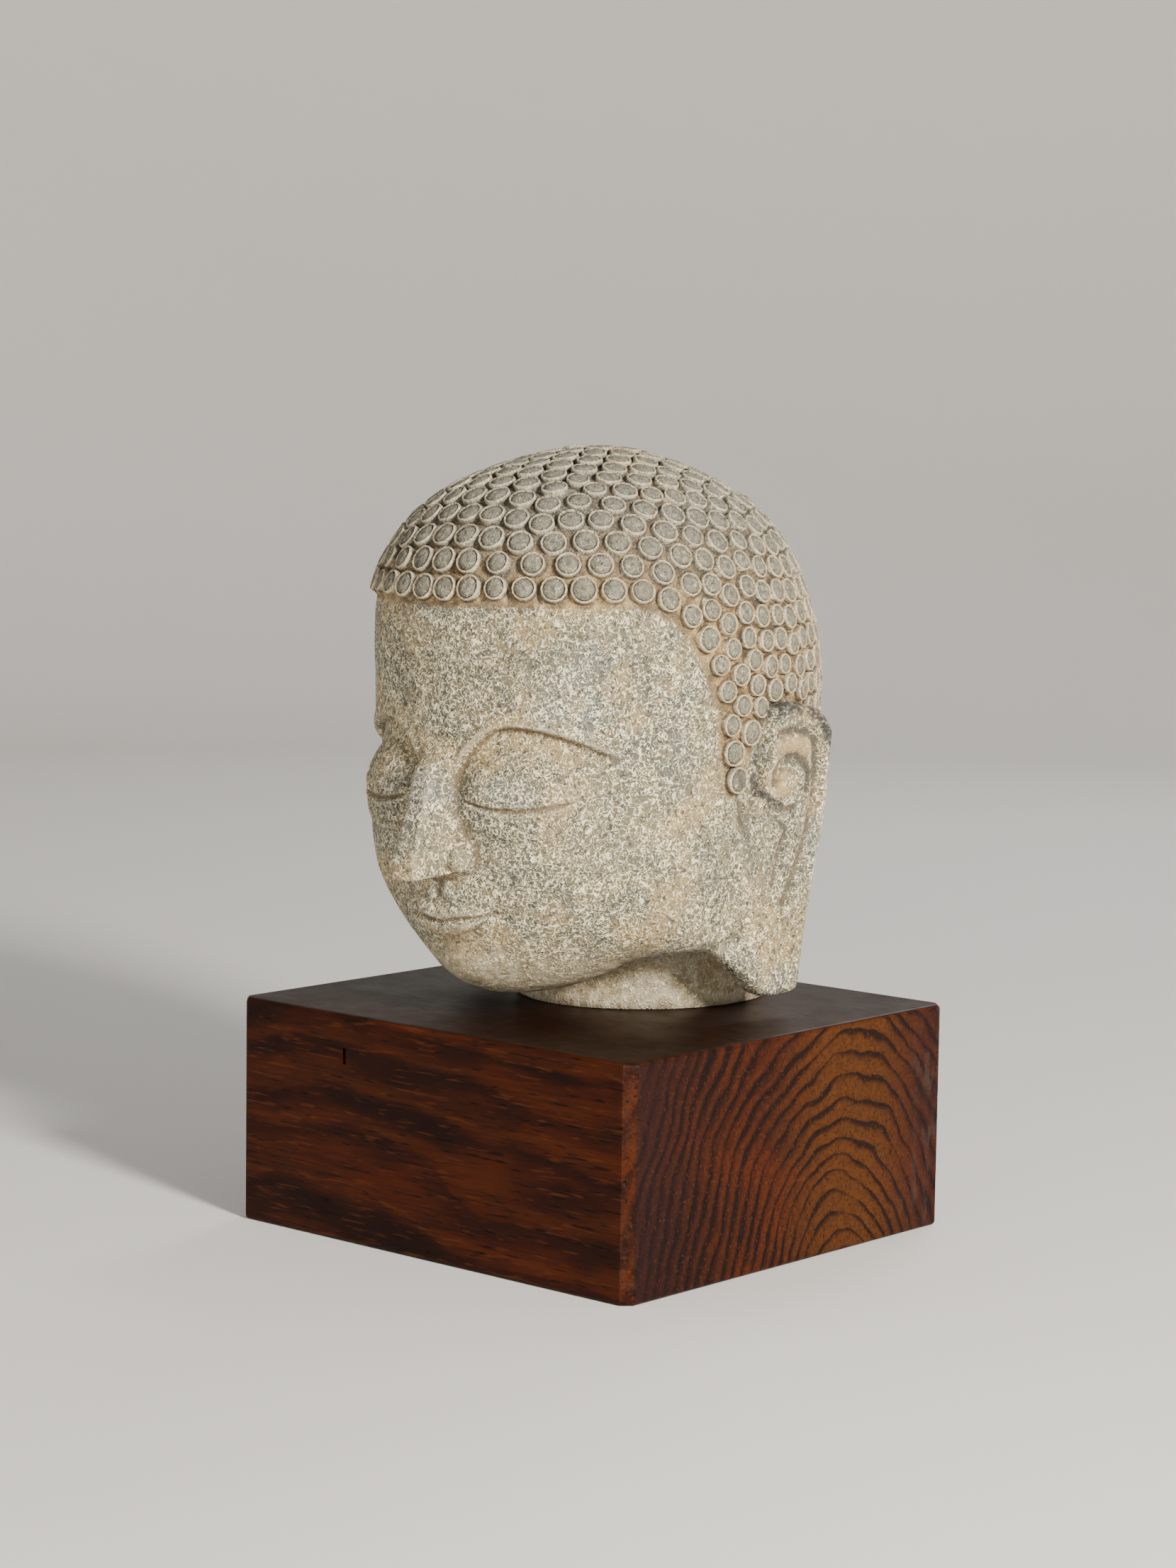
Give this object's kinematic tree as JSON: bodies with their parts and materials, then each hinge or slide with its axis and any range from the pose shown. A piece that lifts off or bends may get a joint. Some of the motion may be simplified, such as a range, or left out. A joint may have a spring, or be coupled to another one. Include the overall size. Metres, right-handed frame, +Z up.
{
  "type": "stone buddha head",
  "caption": "Life-size carved stone buddha head with rows of round hair curls and long ears, cut flat at the neck, on a wooden block.",
  "frame": {"origin": "centre of the wooden block's underside, at the level of the surface it stands on", "axes": "+Z up; the face looks along -Y; +X is on the right hand of someone looking at the face"},
  "size_m": [0.23, 0.2298, 0.3459],
  "materials": {
    "block_wood": "dark red-brown solid timber, planed, stained and waxed to a satin shine, growth rings on the end faces",
    "head_stone": "weathered warm grey limestone, finely pitted and matt, with ochre dirt between the curls and darker curl tops"
  },
  "bodies": {
    "root": {"wooden_block": "block_wood", "buddha_head": "head_stone"}
  },
  "joints": []
}
